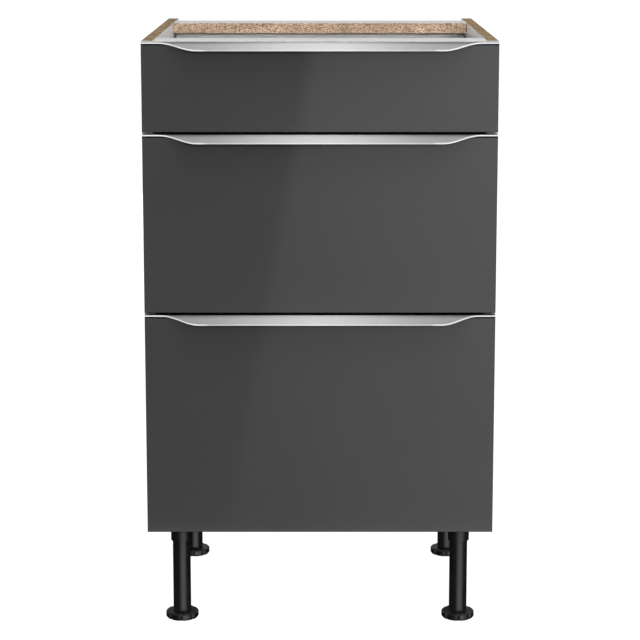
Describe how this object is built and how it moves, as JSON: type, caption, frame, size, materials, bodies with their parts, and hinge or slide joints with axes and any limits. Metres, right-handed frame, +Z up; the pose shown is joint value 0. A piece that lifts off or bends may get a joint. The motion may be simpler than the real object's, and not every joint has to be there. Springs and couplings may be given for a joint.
{
  "type": "base cabinet with drawers",
  "caption": "Kitchen base cabinet with full-width pull-out drawers on full-extension runners, gloss fronts, slanting metal grip strips and height-adjustable legs.",
  "frame": {"origin": "on the floor, below the middle of the overall box, handle lips included", "axes": "+Z up; +X across the cabinet, to the right of someone who faces the drawer fronts; -Y is the side with the drawer fronts and +Y points to the wall"},
  "size_m": [0.5, 0.604, 0.848],
  "materials": {
    "front_gloss": "anthracite high-gloss foil over fibreboard, with eased edges",
    "handle_metal": "satin anodised strip with a bright trimmed rim",
    "board_white": "white melamine-faced chipboard, raw brown chipboard at the unlipped edges",
    "side_steel": "silver-grey powder-coated sheet steel",
    "runner_zinc": "bright zinc-plated rolled steel",
    "leg_plastic": "black moulded plastic with a soft shine"
  },
  "bodies": {
    "carcass": {"side_panel_left": "board_white", "side_panel_right": "board_white", "bottom_panel": "board_white", "front_rail": "board_white", "rear_rail": "board_white", "back_panel": "board_white", "upper_runner_rail_left": "runner_zinc", "upper_runner_rail_right": "runner_zinc", "middle_runner_rail_left": "runner_zinc", "middle_runner_rail_right": "runner_zinc", "lower_runner_rail_left": "runner_zinc", "lower_runner_rail_right": "runner_zinc", "leg_socket_front_left": "leg_plastic", "leg_tube_front_left": "leg_plastic", "leg_socket_front_right": "leg_plastic", "leg_tube_front_right": "leg_plastic", "leg_socket_rear_left": "leg_plastic", "leg_tube_rear_left": "leg_plastic", "leg_socket_rear_right": "leg_plastic", "leg_tube_rear_right": "leg_plastic"},
    "upper_drawer": {"upper_drawer_front": "front_gloss", "upper_drawer_handle": "handle_metal", "upper_drawer_bottom": "board_white", "upper_drawer_back": "board_white", "upper_drawer_side_left": "side_steel", "upper_drawer_side_right": "side_steel"},
    "middle_drawer": {"middle_drawer_front": "front_gloss", "middle_drawer_handle": "handle_metal", "middle_drawer_bottom": "board_white", "middle_drawer_back": "board_white", "middle_drawer_side_left": "side_steel", "middle_drawer_side_right": "side_steel", "middle_drawer_rod_left": "side_steel", "middle_drawer_bracket_left": "side_steel", "middle_drawer_rod_right": "side_steel", "middle_drawer_bracket_right": "side_steel"},
    "lower_drawer": {"lower_drawer_front": "front_gloss", "lower_drawer_handle": "handle_metal", "lower_drawer_bottom": "board_white", "lower_drawer_back": "board_white", "lower_drawer_side_left": "side_steel", "lower_drawer_side_right": "side_steel", "lower_drawer_rod_left": "side_steel", "lower_drawer_bracket_left": "side_steel", "lower_drawer_rod_right": "side_steel", "lower_drawer_bracket_right": "side_steel"},
    "upper_runner_slides": {"upper_runner_slide_left": "runner_zinc", "upper_runner_slide_right": "runner_zinc"},
    "middle_runner_slides": {"middle_runner_slide_left": "runner_zinc", "middle_runner_slide_right": "runner_zinc"},
    "lower_runner_slides": {"lower_runner_slide_left": "runner_zinc", "lower_runner_slide_right": "runner_zinc"},
    "foot_front_left": {"leg_foot_front_left": "leg_plastic"},
    "foot_front_right": {"leg_foot_front_right": "leg_plastic"},
    "foot_rear_left": {"leg_foot_rear_left": "leg_plastic"},
    "foot_rear_right": {"leg_foot_rear_right": "leg_plastic"}
  },
  "joints": [
    {"name": "upper_drawer_travel", "type": "slide", "parent": "carcass", "child": "upper_drawer", "axis": [0, -1, 0], "range_m": [0, 0.45]},
    {"name": "upper_runner_travel", "type": "slide", "parent": "carcass", "child": "upper_runner_slides", "axis": [0, -1, 0], "range_m": [0, 0.225]},
    {"name": "middle_drawer_travel", "type": "slide", "parent": "carcass", "child": "middle_drawer", "axis": [0, -1, 0], "range_m": [0, 0.45]},
    {"name": "middle_runner_travel", "type": "slide", "parent": "carcass", "child": "middle_runner_slides", "axis": [0, -1, 0], "range_m": [0, 0.225]},
    {"name": "lower_drawer_travel", "type": "slide", "parent": "carcass", "child": "lower_drawer", "axis": [0, -1, 0], "range_m": [0, 0.45]},
    {"name": "lower_runner_travel", "type": "slide", "parent": "carcass", "child": "lower_runner_slides", "axis": [0, -1, 0], "range_m": [0, 0.225]},
    {"name": "foot_front_left_height", "type": "slide", "parent": "carcass", "child": "foot_front_left", "axis": [0, 0, -1], "range_m": [0, 0.02]},
    {"name": "foot_front_right_height", "type": "slide", "parent": "carcass", "child": "foot_front_right", "axis": [0, 0, -1], "range_m": [0, 0.02]},
    {"name": "foot_rear_left_height", "type": "slide", "parent": "carcass", "child": "foot_rear_left", "axis": [0, 0, -1], "range_m": [0, 0.02]},
    {"name": "foot_rear_right_height", "type": "slide", "parent": "carcass", "child": "foot_rear_right", "axis": [0, 0, -1], "range_m": [0, 0.02]}
  ],
  "couplings": [
    {"joint": "upper_runner_travel", "follows": "upper_drawer_travel", "ratio": 0.5},
    {"joint": "middle_runner_travel", "follows": "middle_drawer_travel", "ratio": 0.5},
    {"joint": "lower_runner_travel", "follows": "lower_drawer_travel", "ratio": 0.5}
  ]
}
